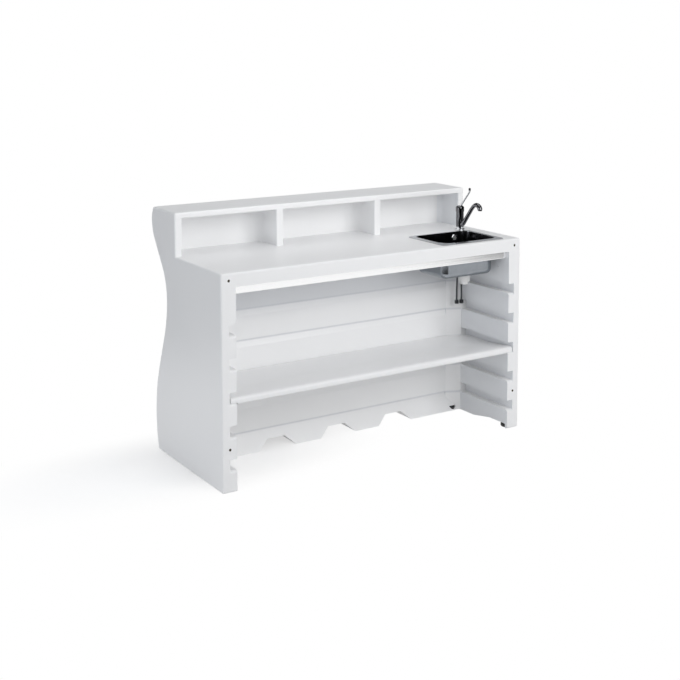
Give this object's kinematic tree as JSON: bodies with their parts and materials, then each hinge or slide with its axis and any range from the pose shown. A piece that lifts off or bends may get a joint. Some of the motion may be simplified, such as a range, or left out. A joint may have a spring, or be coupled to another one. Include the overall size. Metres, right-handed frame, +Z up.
{
  "type": "bar counter",
  "caption": "White moulded bar counter with raised bar shelf, pigeonholes, runners for a removable shelf, inset steel sink and swivelling mixer tap.",
  "frame": {"origin": "on the floor under the middle of the counter's bounding box", "axes": "+X along the counter towards the sink, +Y towards the customer side, +Z up"},
  "size_m": [1.6, 0.693, 1.1464],
  "materials": {
    "moulded_white": "satin, faintly textured polyethylene",
    "rail_metal": "smooth drawn section",
    "sink_steel": "polished stainless sheet",
    "zinc_steel": "zinc plated",
    "insert_metal": "machined",
    "foot_black": "moulded, satin",
    "chrome": "mirror polished plating",
    "cartridge_plastic": "moulded",
    "black_rubber": "matt",
    "sealant": "satin silicone",
    "waste_white": "moulded polypropylene",
    "knob_black": "moulded",
    "hose_braid": "dark braided jacket",
    "nut_dark": "dark nickel plated"
  },
  "bodies": {
    "counter": {"end_wall_left": "moulded_white", "end_wall_right": "moulded_white", "customer_panel": "moulded_white", "worktop": "moulded_white", "hutch": "moulded_white", "stiffener_rail": "rail_metal", "sink_bowl": "sink_steel", "waste_flange": "sink_steel", "overflow_rose": "sink_steel", "sink_clips": "zinc_steel", "rail_screws": "zinc_steel", "overflow_screw": "zinc_steel", "tap_stud": "zinc_steel", "tap_clamp": "zinc_steel", "stud_nut": "zinc_steel", "threaded_inserts": "insert_metal", "foot_bushes": "insert_metal", "tap_base": "chrome", "tap_housing": "chrome", "hose_ferrule_cold": "chrome", "hose_ferrule_hot": "chrome", "tap_cartridge": "cartridge_plastic", "waste_gasket": "black_rubber", "tap_seal": "black_rubber", "tap_washer": "black_rubber", "sink_seal": "sealant", "waste_body": "waste_white", "overflow_elbow": "waste_white", "overflow_pipe": "waste_white", "supply_hose_cold": "hose_braid", "supply_hose_hot": "hose_braid", "hose_nut_cold": "nut_dark", "hose_nut_hot": "nut_dark"},
    "shelf_body": {"shelf": "moulded_white"},
    "spout_body": {"tap_spout": "chrome", "aerator": "chrome"},
    "handle_body": {"tap_cap": "chrome", "cartridge_stem": "cartridge_plastic", "lever_pin": "zinc_steel"},
    "lever_body": {"tap_lever": "chrome", "lever_knob": "knob_black"},
    "plug_body": {"waste_plug": "black_rubber"},
    "foot_front_left_body": {"foot_pad_front_left": "foot_black", "foot_stem_front_left": "zinc_steel"},
    "foot_front_right_body": {"foot_pad_front_right": "foot_black", "foot_stem_front_right": "zinc_steel"},
    "foot_rear_left_body": {"foot_pad_rear_left": "foot_black", "foot_stem_rear_left": "zinc_steel"},
    "foot_rear_right_body": {"foot_pad_rear_right": "foot_black", "foot_stem_rear_right": "zinc_steel"}
  },
  "joints": [
    {"name": "shelf_slide", "type": "slide", "parent": "counter", "child": "shelf_body", "axis": [0, -1, 0], "range_m": [0, 0.38]},
    {"name": "spout_swivel", "type": "hinge", "parent": "counter", "child": "spout_body", "pos_m": [0.6985, -0.0085, 0.959], "axis": [0, 0, 1], "range_deg": [-110, 110]},
    {"name": "handle_turn", "type": "hinge", "parent": "counter", "child": "handle_body", "pos_m": [0.6985, -0.0085, 1.0365], "axis": [0, 0, 1], "range_deg": [-50, 50]},
    {"name": "lever_lift", "type": "hinge", "parent": "handle_body", "child": "lever_body", "pos_m": [0.6985, -0.0085, 1.0414], "axis": [1, 0, 0], "range_deg": [-20, 0]},
    {"name": "plug_lift", "type": "slide", "parent": "counter", "child": "plug_body", "axis": [0, 0, 1], "range_m": [0, 0.06]},
    {"name": "foot_front_left_adjust", "type": "slide", "parent": "counter", "child": "foot_front_left_body", "axis": [0, 0, -1], "range_m": [0, 0.012]},
    {"name": "foot_front_right_adjust", "type": "slide", "parent": "counter", "child": "foot_front_right_body", "axis": [0, 0, -1], "range_m": [0, 0.012]},
    {"name": "foot_rear_left_adjust", "type": "slide", "parent": "counter", "child": "foot_rear_left_body", "axis": [0, 0, -1], "range_m": [0, 0.012]},
    {"name": "foot_rear_right_adjust", "type": "slide", "parent": "counter", "child": "foot_rear_right_body", "axis": [0, 0, -1], "range_m": [0, 0.012]}
  ]
}
